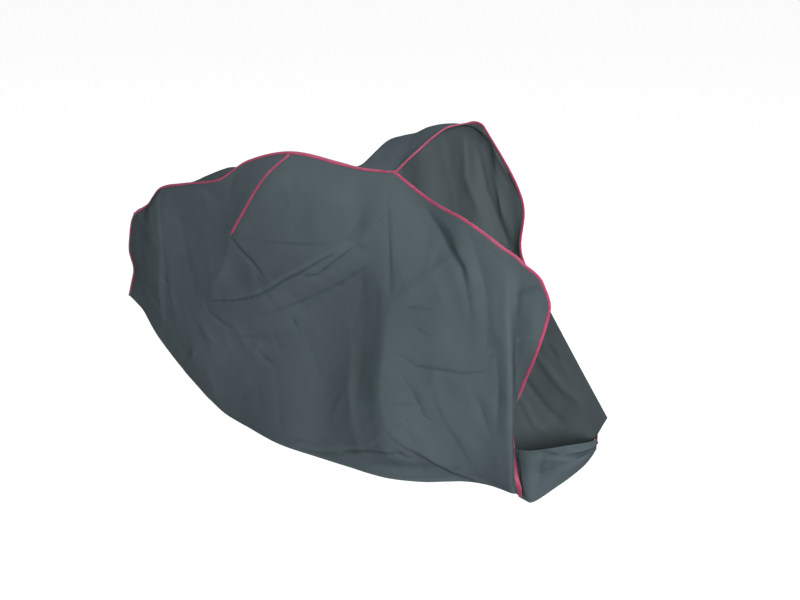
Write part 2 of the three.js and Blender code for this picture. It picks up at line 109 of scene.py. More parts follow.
# Creases seen from the side, in metres: the line in x and z, how far it lifts the cloth outwards,
# and how wide its left and its right flank are, going along the line.
NEAR_CREASES = [
    # line, lift, left, right
    # The swag that hangs from behind the dart up to the apex, crisp on its lower side.
    ([(-0.263, -0.471), (-0.172, -0.452), (-0.112, -0.431), (-0.062, -0.409), (-0.005, -0.372),
      (0.034, -0.343), (0.095, -0.307), (0.149, -0.270)], 0.0042, 0.130, 0.010),
    ([(-0.030, -0.390), (0.034, -0.343), (0.095, -0.307), (0.149, -0.270), (0.205, -0.234),
      (0.252, -0.209), (0.300, -0.187), (0.334, -0.145)], 0.0080, 0.140, 0.036),
    ([(-0.255, -0.480), (-0.169, -0.461), (-0.108, -0.440), (-0.057, -0.418), (0.001, -0.381),
      (0.040, -0.352), (0.101, -0.316), (0.155, -0.279), (0.211, -0.243)], -0.0030, 0.008, 0.012),
    ([(0.100, -0.325), (0.155, -0.318), (0.205, -0.272), (0.265, -0.222)], -0.0032, 0.010, 0.030),
    ([(-0.057, -0.492), (0.082, -0.425), (0.223, -0.340), (0.335, -0.251)], -0.0090, 0.110, 0.090),
    # The hump between the dart and the apex.
    ([(-0.131, -0.251), (-0.039, -0.239), (0.061, -0.234), (0.191, -0.218)], -0.0016, 0.014, 0.026),
    ([(0.296, -0.062), (0.281, -0.145), (0.251, -0.206)], -0.0022, 0.040, 0.034),
    ([(0.020, -0.040), (0.060, -0.110), (0.030, -0.190)], 0.0018, 0.030, 0.040),
    # The crease down from the apex and the flat facet in front of it.
    ([(0.357, -0.047), (0.374, -0.122), (0.389, -0.206), (0.404, -0.332)], -0.0028, 0.008, 0.050),
    ([(0.558, -0.219), (0.528, -0.263), (0.466, -0.310), (0.410, -0.368)], 0.0032, 0.060, 0.026),
    ([(0.480, -0.086), (0.530, -0.137), (0.562, -0.176), (0.612, -0.223), (0.638, -0.290),
      (0.656, -0.354)], -0.0058, 0.020, 0.032),
    ([(0.520, -0.085), (0.566, -0.130), (0.606, -0.182), (0.650, -0.260)], 0.0030, 0.040, 0.018),
    # The tent: its foot, its ridge, its overhang above the hem, and the crinkles on its face.
    ([(0.266, -0.507), (0.269, -0.647), (0.299, -0.776), (0.337, -0.851)], 0.0085, 0.060, 0.160),
    ([(0.407, -0.346), (0.398, -0.407), (0.398, -0.476), (0.396, -0.541), (0.398, -0.607),
      (0.398, -0.652), (0.406, -0.675), (0.425, -0.727), (0.442, -0.743)], 0.0095, 0.140, 0.090),
    ([(0.442, -0.746), (0.469, -0.762), (0.542, -0.799), (0.608, -0.855), (0.683, -0.885)],
     0.0085, 0.070, 0.014),
    ([(0.457, -0.359), (0.533, -0.354)], -0.0014, 0.012, 0.018),
    ([(0.482, -0.412), (0.547, -0.431)], -0.0014, 0.012, 0.018),
    ([(0.419, -0.498), (0.460, -0.503), (0.501, -0.523), (0.587, -0.518), (0.638, -0.519),
      (0.708, -0.502)], -0.0026, 0.012, 0.024),
    ([(0.464, -0.561), (0.500, -0.608), (0.534, -0.671), (0.559, -0.683)], -0.0026, 0.018, 0.022),
    ([(0.571, -0.607), (0.603, -0.672), (0.641, -0.734), (0.675, -0.812)], 0.0030, 0.050, 0.016),
    ([(0.666, -0.546), (0.703, -0.620), (0.733, -0.714)], -0.0030, 0.030, 0.030),
    # The front: the long hollow behind the edge, and the soft ridge beside it.
    ([(0.629, -0.130), (0.659, -0.190), (0.683, -0.250), (0.702, -0.318), (0.716, -0.414)],
     -0.0130, 0.150, 0.080),
    ([(0.720, -0.380), (0.741, -0.470), (0.750, -0.560), (0.748, -0.660), (0.742, -0.760)],
     -0.0065, 0.040, 0.150),
    ([(0.764, -0.330), (0.770, -0.380), (0.783, -0.502), (0.790, -0.600)], 0.0014, 0.018, 0.030),
    ([(0.650, -0.250), (0.690, -0.330), (0.715, -0.450), (0.720, -0.560)], -0.0020, 0.036, 0.050),
    # Behind and under the dart.
    ([(-0.148, -0.245), (-0.114, -0.280), (-0.069, -0.311), (-0.039, -0.340)], 0.0040, 0.060, 0.010),
    ([(-0.150, -0.256), (-0.120, -0.288), (-0.076, -0.320), (-0.044, -0.350)], -0.0028, 0.008, 0.012),
    ([(-0.161, -0.267), (-0.191, -0.339), (-0.232, -0.407), (-0.271, -0.456)], 0.0036, 0.050, 0.034),
    ([(-0.285, -0.490), (-0.275, -0.522), (-0.229, -0.544), (-0.185, -0.559)], -0.0028, 0.014, 0.020),
    # The tail's hanging folds.
    ([(-0.464, -0.195), (-0.448, -0.312), (-0.447, -0.459), (-0.427, -0.614)], 0.0022, 0.060, 0.016),
    ([(-0.396, -0.192), (-0.357, -0.368), (-0.318, -0.529)], -0.0018, 0.050, 0.040),
    ([(-0.475, -0.443), (-0.447, -0.465)], -0.0020, 0.012, 0.014),
    ([(-0.491, -0.192), (-0.473, -0.319), (-0.490, -0.460), (-0.498, -0.626)], 0.0060, 0.030, 0.110),
    ([(-0.333, -0.562), (-0.303, -0.586), (-0.251, -0.630)], 0.0022, 0.020, 0.030),
    ([(-0.340, -0.665), (-0.379, -0.731)], 0.0030, 0.020, 0.030),
    # The lower side and the hem on the floor.
    ([(0.046, -0.479), (0.071, -0.526)], -0.0022, 0.014, 0.016),
    ([(-0.192, -0.587), (-0.032, -0.562), (0.113, -0.519)], -0.0020, 0.030, 0.045),
    ([(-0.180, -0.640), (0.000, -0.622), (0.150, -0.590)], 0.0018, 0.036, 0.050),
    ([(0.287, -0.242), (0.312, -0.373), (0.311, -0.522), (0.306, -0.680)], -0.0012, 0.040, 0.050),
    ([(0.065, -0.892), (0.160, -0.880), (0.248, -0.858), (0.355, -0.809), (0.413, -0.749)],
     0.0050, 0.034, 0.018),
    ([(0.211, -0.870), (0.361, -0.829), (0.465, -0.803)], -0.0045, 0.014, 0.030),
    ([(0.442, -0.786), (0.478, -0.814), (0.515, -0.817)], -0.0030, 0.012, 0.018),
]


def unit(vectors):
    """The vectors, each made one long."""
    return vectors / np.linalg.norm(vectors, axis=-1, keepdims=True)


def packed_rows(node, outside, corners):
    """Points of a packed sheet's outer face, as rows from its top edge down.

    outside is a point that the outer face looks at. corners lie at the two ends of the top edge
    and at the first end of the hem.
    """
    solid = bmesh.new()
    solid.from_mesh(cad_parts[node].data)
    bmesh.ops.remove_doubles(solid, verts=solid.verts, dist=SAME_POINT)
    # The outer face is all that is reached from one triangle over edges that turn little.
    first = min(solid.faces, key=lambda face: (face.calc_center_median() - Vector(outside)).length)
    outer, open_faces = {first}, [first]
    while open_faces:
        face = open_faces.pop()
        for edge in face.edges:
            for other in edge.link_faces:
                if other not in outer and face.normal.dot(other.normal) > OUTER_TURN:
                    outer.add(other)
                    open_faces.append(other)
    # Its rim runs along the edges that only one of its triangles has.
    rim = {}
    for face in outer:
        for edge in face.edges:
            if sum(other in outer for other in edge.link_faces) == 1:
                for a, b in (edge.verts, reversed(edge.verts)):
                    rim.setdefault(a, []).append(b)
    ends = [min(rim, key=lambda vert: (vert.co - Vector(corner)).length) for corner in corners]

    def side(start, stop, other):
        """The rim from one corner to another, by the way that doesn't pass the third."""
        for second in rim[start]:
            path = [start, second]
            while path[-1] not in (stop, other):
                path.append(next(vert for vert in rim[path[-1]] if vert != path[-2]))
            if path[-1] == stop:
                return path

    used = set()

    def close(a, b):
        """The third point of the next triangle on the edge between two points."""
        both = [face for face in a.link_faces if b in face.verts]
        face = next(face for face in both if face in outer and face not in used)
        used.add(face)
        return next(vert for vert in face.verts if vert not in (a, b))

    # Each row is found from the one above it, with two triangles to a cell.
    rows = [side(ends[0], ends[1], ends[2])]
    for start in side(ends[0], ends[2], ends[1])[1:]:
        row = [start]
        for a, b in zip(rows[-1], rows[-1][1:]):
            third = close(a, b)
            if third == row[-1]:
                third = close(b, row[-1])
            else:
                close(a, third)
            row.append(third)
        rows.append(row)
    points = np.array([[vert.co[:] for vert in row] for row in rows])
    solid.free()
    return points


def finer(points, cell):
    """The points along the first axis about one cell apart, on a smooth curve, and their places."""
    spans = np.linalg.norm(np.diff(points, axis=0), axis=2).mean(1)
    reach = np.concatenate([[0], np.cumsum(spans)])
    slopes = np.gradient(points, reach, axis=0)
    places = np.linspace(0, reach[-1], round(reach[-1] / cell) + 1)
    before = np.clip(np.searchsorted(reach, places, side="right") - 1, 0, len(points) - 2)
    after = before + 1
    span = (reach[after] - reach[before])[:, None, None]
    share = (places - reach[before])[:, None, None] / span
    start = (2 * share**3 - 3 * share**2 + 1) * points[before]
    start += (share**3 - 2 * share**2 + share) * span * slopes[before]
    stop = (3 * share**2 - 2 * share**3) * points[after]
    stop += (share**3 - share**2) * span * slopes[after]
    return start + stop, places


def fine_sheet(points, cell):
    """A sheet on a fine grid, with the two places of each point on the flat cut."""
    points, down = finer(points, cell)
    points, along = finer(points.transpose(1, 0, 2), cell)
    return points.transpose(1, 0, 2), *np.meshgrid(along, down)


def grow_edge(points, along, down, side, reach):
    """Adds a strip beyond one side of a sheet, so that it goes in under a tape."""
    axis, last = {"top": (0, False), "first": (1, False), "last": (1, True)}[side]
    edge, beside, inner = (-1, -2, -4) if last else (0, 1, 3)
    lines, along, down = [np.moveaxis(values, axis, 0) for values in (points, along, down)]
    strips = [lines[edge] + reach * unit(lines[edge] - lines[inner])]
    strips += [2 * places[edge] - places[beside] for places in (along, down)]
    grown = []
    for values, strip in zip((lines, along, down), strips):
        joined = [values, strip[None]] if last else [strip[None], values]
        grown.append(np.moveaxis(np.concatenate(joined), 0, axis))
    return grown


def outward(points, turn):
    """Unit normals of a grid of points; turn is 1 or -1 so that they leave the hollow."""
    return turn * unit(np.cross(np.gradient(points, axis=1), np.gradient(points, axis=0)))


def crease_lift(a, b, creases, seed):
    """How far a table of creases lifts the cloth at the places a, b."""
    random = np.random.default_rng(seed)
    lift = np.zeros_like(a)
    for line, depth, left, right in creases:
        line = np.array(line)
        lengths = np.linalg.norm(np.diff(line, axis=0), axis=1)
        starts = np.concatenate([[0], np.cumsum(lengths)])
        nearest = np.full_like(a, np.inf)
        sign = np.ones_like(a)
        share = np.zeros_like(a)
        for start, stop, length, before in zip(line, line[1:], lengths, starts):
            way = (stop - start) / length
            ahead = np.clip((a - start[0]) * way[0] + (b - start[1]) * way[1], 0, length)
            off_a, off_b = a - start[0] - ahead * way[0], b - start[1] - ahead * way[1]
            away = np.hypot(off_a, off_b)
            closer = away < nearest
            nearest = np.where(closer, away, nearest)
            sign = np.where(closer, np.sign(way[0] * off_b - way[1] * off_a), sign)
            share = np.where(closer, (before + ahead) / starts[-1], share)
        taper = np.sin(np.pi * (CREASE_END + (1 - 2 * CREASE_END) * share)) ** CREASE_FADE
        waves, phase = random.uniform(*CREASE_WAVES), random.uniform(*ANY_PHASE)
        waver = 1 + CREASE_WAVER * np.sin(share * waves + phase)
        flank = np.where(sign > 0, left, right) * (CREASE_END_FLANK + (1 - CREASE_END_FLANK) * taper)
        round_off = np.sqrt(nearest**2 + CREASE_ROUND**2) - CREASE_ROUND
        lift += depth * taper * waver * np.clip(1 - round_off / flank, 0, 1) ** 2
    return lift


def handled_lift(a, b, seed, count, depth):
    """Small sharp folds left by handling, scattered over the cloth at the places a, b."""
    random = np.random.default_rng(seed)
    lift = np.zeros_like(a)
    low_a, low_b, wide, high = a.min(), b.min(), np.ptp(a), np.ptp(b)
    for _ in range(round(count * wide * high)):
        mid_a, mid_b = low_a + wide * random.random(), low_b + high * random.random()
        angle, length = random.uniform(0, np.pi), random.uniform(*HANDLED_LENGTH)
        width, lifted = random.uniform(*HANDLED_WIDTH), depth * random.normal()
        ahead = (a - mid_a) * np.cos(angle) + (b - mid_b) * np.sin(angle)
        away = (b - mid_b) * np.cos(angle) - (a - mid_a) * np.sin(angle)
        round_off = np.sqrt(away**2 + CREASE_ROUND**2) - CREASE_ROUND
        ridge = np.clip(1 - round_off / width, 0, 1) ** 2
        lift += lifted * ridge * np.exp(-((ahead / length) ** 2))
    return lift


def held_share(along, down, reach):
    """0 at the sewn top and ends of a sheet and 1 away from them."""
    ends = np.minimum(along, along.max() - along)
    return np.clip(np.minimum(ends, down) / reach, 0, 1)


def hung_panel(rows, turn, creases, crease_seed, handled_seed, handled_depth):
    """A side panel's fine points with its creases and folds, and their places on the flat cut."""
    points, along, down = fine_sheet(rows, CLOTH_CELL)
    x, z = points[..., 0], points[..., 2]
    lift = crease_lift(x, z, creases, crease_seed)
    lift += handled_lift(x, z, handled_seed, HANDLED_COUNT, handled_depth)
    lift *= held_share(along, down, SEAM_HOLD)
    points = points + lift[..., None] * outward(points, turn)
    for side in ("top", "first", "last"):
        points, along, down = grow_edge(points, along, down, side, UNDER_TAPE)
    return points, along, down


def in_scene(name, data):
    """A new object in the scene, of the mesh, lamp or lens given."""
    made = bpy.data.objects.new(name, data)
    bpy.context.scene.collection.objects.link(made)
    return made


def lay_flat(mesh, name, places):
    """Gives a mesh a UV map, from the place of each of its points in metres."""
    corner = np.empty(len(mesh.loops), np.int32)
    mesh.loops.foreach_get("vertex_index", corner)
    mesh.uv_layers.new(name=name).data.foreach_set("uv", places[corner].ravel())


def finished(name, mesh, sharp, material):
    """An object in the scene of one material, smooth but for edges past the sharp angle."""
    mesh.polygons.foreach_set("use_smooth", np.ones(len(mesh.polygons), bool))
    mesh.set_sharp_from_angle(angle=sharp)
    mesh.materials.append(material)
    return in_scene(name, mesh)


def sheet_object(name, points, along, down, turn, material):
    """A closed sheet of cloth with its cut in metres as UV, and how bent each place is, which marks wear
    and a painted highlight on ridges and painted shade in troughs.
    """
    rows, columns = points.shape[:2]
    normal = outward(points, turn)
    inside = points - CLOTH_THICKNESS * normal
    count = rows * columns
    index = np.arange(count).reshape(rows, columns)
    a, b, c, d = index[:-1, :-1], index[:-1, 1:], index[1:, 1:], index[1:, :-1]
    quads = np.stack([a, b, c, d], -1).reshape(-1, 4)
    loop = np.concatenate([index[0, :-1], index[:-1, -1], index[-1, :0:-1], index[:0:-1, 0]])
    after = np.roll(loop, -1)
    rim = np.stack([after, loop, loop + count, after + count], -1)
    faces = np.concatenate([quads, quads[:, ::-1] + count, rim])
    if turn < 0:
        faces = faces[:, ::-1]
    mesh = bpy.data.meshes.new(name)
    mesh.from_pydata(np.concatenate([points.reshape(-1, 3), inside.reshape(-1, 3)]), [], faces)
    lay_flat(mesh, "cut", np.tile(np.stack([along.ravel(), down.ravel()], -1), (2, 1)))
    around = np.zeros_like(points)
    around[1:-1, 1:-1] = points[1:-1, 1:-1] - (
        points[2:, 1:-1] + points[:-2, 1:-1] + points[1:-1, 2:] + points[1:-1, :-2]) / 4
    # Convex places get wear and a painted highlight, concave ones painted shade; the inner face takes the
    # opposite sign.
    bent = np.clip((around * normal).sum(2) / FULL_MARK_BEND, -1, 1)
    wear_and_painted_shading = mesh.attributes.new("wear_and_painted_shading", "FLOAT", "POINT")
    wear_and_painted_shading.data.foreach_set("value", np.concatenate([bent.ravel(), -bent.ravel()]))
    inner = mesh.attributes.new("inner", "FLOAT", "POINT")
    inner.data.foreach_set("value", np.repeat([0.0, 1.0], count))
    return finished(name, mesh, CLOTH_SHARP, material)


class Wire:
    """An output socket of a node tree. Arithmetic on it adds Math nodes to that tree."""

    def __init__(self, tree, socket):
        self.tree, self.socket = tree, socket

    @classmethod
    def node(cls, tree, kind, settings=None, values=None, output=0):
        """Adds a node: its settings are set first, then its inputs get values or links."""
        made = tree.nodes.new(kind)
        for name, value in (settings or {}).items():
            setattr(made, name, value)
        for name, value in (values or {}).items():
            if isinstance(value, cls):
                value.feed(made, name)
            else:
                made.inputs[name].default_value = value
        return cls(tree, made.outputs[output] if made.outputs else None)

    def feed(self, node, name):
        """Links this socket to an input of a node."""
        self.tree.links.new(self.socket, node.inputs[name])

    def maths(self, operation, first, second):
        return self.node(self.tree, "ShaderNodeMath", {"operation": operation}, {0: first, 1: second})

    def __add__(self, other):
        return self.maths("ADD", self, other)

    def __sub__(self, other):
        return self.maths("SUBTRACT", self, other)

    def __rsub__(self, other):
        return self.maths("SUBTRACT", other, self)

    def __mul__(self, other):
        return self.maths("MULTIPLY", self, other)

    def above(self, low):
        return self.maths("MAXIMUM", self - low, 0.0)

    def below(self, high):
        return self.maths("MINIMUM", self, high)

    __radd__ = __add__
    __rmul__ = __mul__

    def mix(self, first, second):
        """A colour between two others, by this value."""
        return self.node(self.tree, "ShaderNodeMix", {"data_type": "RGBA"},
                         {0: self, 6: first, 7: second}, 2)


def new_finish(name):
    """A new material, its node tree and its shader."""
    material = bpy.data.materials.new(name)
    material.use_nodes = True
    return material, material.node_tree, material.node_tree.nodes["Principled BSDF"]


def bands(pitch):
    """The scale at which a wave texture's bands lie one pitch apart."""
    return math.pi / 10 / pitch


def coated_cloth(name):
    """Coated plain weave: fine threads, worn lighter in patches, lighter along ridges with wear and a
    painted highlight, darker in troughs with painted shade.
    """
    material, tree, shader = new_finish(name)
    cut = Wire.node(tree, "ShaderNodeUVMap", {"uv_map": "cut"})
    place = Wire.node(tree, "ShaderNodeTexCoord", output="Object")
    wear_and_painted_shading = Wire.node(tree, "ShaderNodeAttribute", {"attribute_name": "wear_and_painted_shading"}, output="Fac")
    threads = {}
    for way in "XY":
        threads[way] = Wire.node(
            tree, "ShaderNodeTexWave", {"bands_direction": way},
            {"Vector": cut, "Scale": bands(THREAD_PITCH), "Distortion": 0.4, "Detail": 1.0})
    over = Wire.node(tree, "ShaderNodeTexChecker", None, {"Vector": cut, "Scale": 1 / THREAD_PITCH}, "Fac")
    weave = threads["X"] * over + threads["Y"] * (1 - over)
    patches = Wire.node(tree, "ShaderNodeTexNoise", None, {"Vector": place, "Scale": 5.0, "Detail": 5.0})
    grain = Wire.node(tree, "ShaderNodeTexNoise", None, {"Vector": place, "Scale": 210.0, "Detail": 3.0})
    crinkle = Wire.node(tree, "ShaderNodeTexNoise", None,
                        {"Vector": place, "Scale": 34.0, "Detail": 4.0, "Roughness": 0.45})
    worn = patches.above(0.5) * WORN_SHARE
    # Lighter by worn patches and grain, and on ridges by wear and a painted highlight.
    light = (wear_and_painted_shading.above(0.1) * RIDGE_WEAR_AND_HIGHLIGHT_SHARE + worn + grain * GRAIN_SHARE).below(1.0)
    # Darker by the weave, and in troughs by painted shade.
    dark = ((0 - wear_and_painted_shading).above(0.1) + (1 - weave) * WEAVE_SHARE).below(1.0)
    inner = Wire.node(tree, "ShaderNodeAttribute", {"attribute_name": "inner"}, output="Fac")
    # The inner face takes its own slate, raised as painted light against the shade inside the cover.
    colour = inner.mix(dark.mix(light.mix(SLATE, SLATE_WORN_AND_HIGHLIT), SLATE_SHADE_AND_WEAVE), SLATE_INNER)
    colour.feed(shader, "Base Color")
    rough = CLOTH_ROUGH + grain * 0.10 + patches * 0.10 - wear_and_painted_shading.above(0.0) * 0.06 + inner * 0.08
    rough.feed(shader, "Roughness")
    shader.inputs["Specular IOR Level"].default_value = CLOTH_SPECULAR
    crinkled = Wire.node(tree, "ShaderNodeBump", None,
                         {"Strength": 0.35, "Distance": 0.0016, "Height": crinkle})
    woven = Wire.node(tree, "ShaderNodeBump", None,
                      {"Strength": 0.30, "Distance": 0.0003, "Height": weave, "Normal": crinkled})
    woven.feed(shader, "Normal")
    return material


cloth = coated_cloth("coated_cloth")
near_rows = packed_rows("side_panel_near", NEAR_OUTSIDE, NEAR_CORNERS)
near_rows[0, -1] += CORNER_ROUND * ((near_rows[0, -2] + near_rows[1, -1]) / 2 - near_rows[0, -1])
near_sheet = hung_panel(near_rows, -1, NEAR_CREASES, 3, 11, NEAR_HANDLED_DEPTH)
near_panel = sheet_object("near_panel", *near_sheet, -1, cloth)
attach(near_panel, "root")
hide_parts("side_panel_near")


# Far side panel. The second cut piece of the same cloth, sewn to the near one along the spine. It is
# tented out over the raised shoulder peak and hangs from there in upright folds, its inside showing.
FAR_HANDLED_DEPTH = 0.0012
FAR_OUTSIDE = (0.1, 1.0, -0.5)
FAR_CORNERS = [(-0.620, 0.008, -0.265), (0.515, 0.252, 0.090), (-0.680, 0.008, -0.569)]
FAR_CREASES = [
    # line, lift, left, right
    # The fold that rises to the shoulder behind the apex.
    ([(0.222, 0.040), (0.230, 0.012), (0.240, -0.090), (0.250, -0.200)], 0.008, 0.050, 0.040),
    # The folds that hang inside the front.
    ([(0.368, 0.027), (0.382, -0.034), (0.412, -0.126), (0.430, -0.240)], -0.0040, 0.030, 0.040),
    ([(0.447, 0.035), (0.459, -0.078), (0.513, -0.179), (0.551, -0.252)], -0.0064, 0.014, 0.030),
    ([(0.494, 0.009), (0.523, -0.114), (0.573, -0.219), (0.605, -0.276)], 0.0050, 0.016, 0.022),
    ([(0.540, -0.049), (0.576, -0.155), (0.620, -0.256)], -0.0036, 0.024, 0.020),
    ([(0.554, 0.018), (0.559, -0.063), (0.574, -0.157), (0.600, -0.237)], -0.0100, 0.060, 0.060),
    # The folds of its front foot.
    ([(0.640, -0.430), (0.750, -0.533), (0.807, -0.559), (0.854, -0.608)], -0.0060, 0.020, 0.030),
    ([(0.740, -0.520), (0.815, -0.576), (0.883, -0.592)], 0.0044, 0.018, 0.024),
    ([(0.690, -0.560), (0.812, -0.642), (0.853, -0.669), (0.903, -0.687)], -0.0060, 0.018, 0.028),
    ([(0.640, -0.640), (0.740, -0.713), (0.799, -0.754), (0.861, -0.777)], 0.0060, 0.022, 0.026),
    ([(0.640, -0.700), (0.717, -0.762), (0.760, -0.812), (0.797, -0.822)], -0.0050, 0.020, 0.024),
    # The folds of the far side and its hem.
    ([(-0.060, -0.050), (-0.020, -0.230), (0.040, -0.420)], 0.007, 0.040, 0.028),
    ([(-0.240, -0.140), (-0.160, -0.300), (-0.020, -0.420), (0.140, -0.480)], -0.009, 0.030, 0.050),
    ([(-0.200, -0.200), (-0.120, -0.330), (0.040, -0.430)], 0.008, 0.012, 0.050),
    ([(-0.470, -0.190), (-0.430, -0.330), (-0.400, -0.540)], 0.007, 0.024, 0.018),
    ([(-0.380, -0.210), (-0.340, -0.400), (-0.310, -0.600)], -0.006, 0.030, 0.030),
    ([(-0.300, -0.600), (-0.120, -0.640), (0.080, -0.620)], -0.005, 0.022, 0.026),
    ([(0.080, -0.300), (0.120, -0.520), (0.100, -0.760)], 0.008, 0.034, 0.028),
    ([(0.200, -0.420), (0.230, -0.620), (0.220, -0.820)], -0.008, 0.032, 0.032),
    ([(0.360, -0.440), (0.390, -0.620), (0.380, -0.830)], 0.008, 0.028, 0.034),
    ([(0.480, -0.520), (0.520, -0.680), (0.560, -0.850)], -0.008, 0.026, 0.030),
    ([(0.020, -0.840), (0.180, -0.850), (0.340, -0.830)], -0.006, 0.014, 0.020),
]
far_rows = packed_rows("side_panel_far", FAR_OUTSIDE, FAR_CORNERS)
far_sheet = hung_panel(far_rows, 1, FAR_CREASES, 5, 23, FAR_HANDLED_DEPTH)
far_panel = sheet_object("far_panel", *far_sheet, 1, cloth)
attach(far_panel, "root")
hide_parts("side_panel_far")


# Toe gusset. A short strip of the same cloth across the foot of the front, sewn to the near panel's
# edge and to the tip seam. Its free rim is rolled outwards and its foot lies on the floor.
TOE_CELL = 0.0032
TOE_HOLD = 0.012
TOE_HANDLED_COUNT = 600
TOE_HANDLED_DEPTH = 0.0007
TOE_OUTSIDE = (0.95, -0.4, -0.8)
TOE_CORNERS = [(0.829, -0.121, -0.899), (0.973, 0.090, -0.807), (0.781, -0.088, -0.762)]
# How far the near end goes in behind the near panel's edge, at its foot and at its rim, and how
# far back it is tucked there.
TOE_UNDER_EDGE = (0.022, 0.008)
TOE_TUCK = 0.0030
TOE_UNDER_TIP = 0.003
# Places on the flat strip: along from the near seam, and up from its foot.
TOE_CREASES = [
    # line, lift, left, right
    ([(0.020, 0.100), (0.090, 0.093), (0.150, 0.076), (0.230, 0.057)], -0.0050, 0.010, 0.012),
    ([(0.014, 0.098), (0.010, 0.050), (0.006, 0.006)], 0.0040, 0.060, 0.010),
    ([(0.080, 0.092), (0.070, 0.050), (0.056, 0.008)], -0.0085, 0.060, 0.050),
    ([(0.110, 0.078), (0.160, 0.061), (0.235, 0.043)], 0.0085, 0.014, 0.055),
    ([(0.012, 0.125), (0.100, 0.120), (0.200, 0.075)], 0.0030, 0.008, 0.010),
    ([(0.342, 0.090), (0.345, 0.050), (0.345, 0.006)], -0.0080, 0.024, 0.040),
]
toe_rows = packed_rows("toe_gusset", TOE_OUTSIDE, TOE_CORNERS)
toe_points, toe_along, toe_up = fine_sheet(toe_rows, TOE_CELL)
toe_lift = crease_lift(toe_along, toe_up, TOE_CREASES, 7)
toe_lift += handled_lift(toe_along, toe_up, 31, TOE_HANDLED_COUNT, TOE_HANDLED_DEPTH)
toe_lift *= held_share(toe_along, toe_up, TOE_HOLD)
toe_shift = toe_lift[..., None] * outward(toe_points, 1)
toe_reach = np.linspace(*TOE_UNDER_EDGE, len(toe_points))[:, None]
toe_points, toe_along, toe_up = grow_edge(toe_points, toe_along, toe_up, "first", toe_reach)
toe_points[:, 0] -= TOE_TUCK * outward(toe_points, 1)[:, 0]
toe_points[:, 1:] += toe_shift
toe_sheet = grow_edge(toe_points, toe_along, toe_up, "last", TOE_UNDER_TIP)
toe_gusset = sheet_object("toe_strip", *toe_sheet, 1, cloth)
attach(toe_gusset, "root")
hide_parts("toe_gusset")


# Spine binding. A woven tape, folded over the two raw edges of the panels' seam and sewn through
# along both of its rims. It runs from the tail's hem up and along the top to the apex.
APEX = (0.346, 0.0, -0.012)
TAPE_CELL = 0.005
TAPE_SHARP = math.radians(65)
# The arm that carries a cloth's facing along its edge.
FACING_ARM = 0.01
RIB_PITCH = 0.0011
WARP_PITCH = 0.6 * RIB_PITCH
THREAD_TWIST = 0.0009
CRIMSON = (0.114, 0.0101, 0.0312, 1)
CRIMSON_WORN = (0.154, 0.0217, 0.0540, 1)
CRIMSON_DEEP = (0.057, 0.0049, 0.0156, 1)
CRIMSON_SHEEN = 0.04
CRIMSON_SPECULAR = 0.22
TAPE_ROUGH = 0.50
THREAD_ROUGH = 0.45
# Half of the folded tape, from its rim to the ridge: down the cloth from its edge, off the cloth.
SPINE_FOLD = [
    (0.0012, 0.0005), (0.0018, 0.0012), (0.0012, 0.0019), (-0.0010, 0.0024), (-0.0036, 0.0026),
]
SPINE_LINING = [(-0.0036, 0.0007), (-0.0010, 0.0006)]
SPINE_STITCH = (0.0002, 0.0022)
# The ridge lies midway between the edges, this far beyond both, and is that high outside and inside.
RIDGE_BEYOND = 0.004
RIDGE_OUTSIDE = 0.0034
RIDGE_INSIDE = 0.0014
STITCH = {"Pitch": 0.0036, "Length": 0.0027, "Width": 0.0006}
# The shortest and the longest stitch, as shares of that length.
STITCH_SHORTEST = 0.88
STITCH_LONGEST = 1.06


def woven_tape(name):
    """Ribbed woven tape: ribs across it, darker between them, and paler in worn patches."""
    material, tree, shader = new_finish(name)
    run = Wire.node(tree, "ShaderNodeUVMap", {"uv_map": "run"})
    place = Wire.node(tree, "ShaderNodeTexCoord", output="Object")
    ribs = Wire.node(tree, "ShaderNodeTexWave", {"bands_direction": "X"},
                     {"Vector": run, "Scale": bands(RIB_PITCH), "Distortion": 0.6, "Detail": 1.0})
    warp = Wire.node(tree, "ShaderNodeTexWave", {"bands_direction": "Y"},
                     {"Vector": run, "Scale": bands(WARP_PITCH)})
    patches = Wire.node(tree, "ShaderNodeTexNoise", None, {"Vector": place, "Scale": 38.0, "Detail": 4.0})
    weave = ribs * 0.7 + warp * 0.3
    ribbed = (weave.below(0.6) * 1.6).mix(CRIMSON_DEEP, CRIMSON)
    colour = (patches.above(0.45) * 1.6).below(1.0).mix(ribbed, CRIMSON_WORN)
    colour.feed(shader, "Base Color")
    (TAPE_ROUGH + patches * 0.18).feed(shader, "Roughness")
    shader.inputs["Sheen Weight"].default_value = CRIMSON_SHEEN
    shader.inputs["Specular IOR Level"].default_value = CRIMSON_SPECULAR
    bump = Wire.node(tree, "ShaderNodeBump", None,
                     {"Strength": 0.35, "Distance": 0.0004, "Height": weave})
    bump.feed(shader, "Normal")
    return material


def sewing_thread(name):
    """Spun thread in the tape's colour, darker in the turns of its twist."""
    material, tree, shader = new_finish(name)
    place = Wire.node(tree, "ShaderNodeTexCoord", output="Object")
    twist = Wire.node(tree, "ShaderNodeTexWave", {"bands_direction": "DIAGONAL"},
                      {"Vector": place, "Scale": bands(THREAD_TWIST), "Distortion": 1.0})
    colour = twist.mix(CRIMSON, CRIMSON_WORN)
    colour.feed(shader, "Base Color")
    (THREAD_ROUGH + twist * 0.15).feed(shader, "Roughness")
    shader.inputs["Sheen Weight"].default_value = CRIMSON_SHEEN
    shader.inputs["Specular IOR Level"].default_value = CRIMSON_SPECULAR
    return material


def way_along(points):
    """How far each point of a line lies from its start, along it."""
    return np.concatenate([[0], np.cumsum(np.linalg.norm(np.diff(points, axis=0), axis=1))])


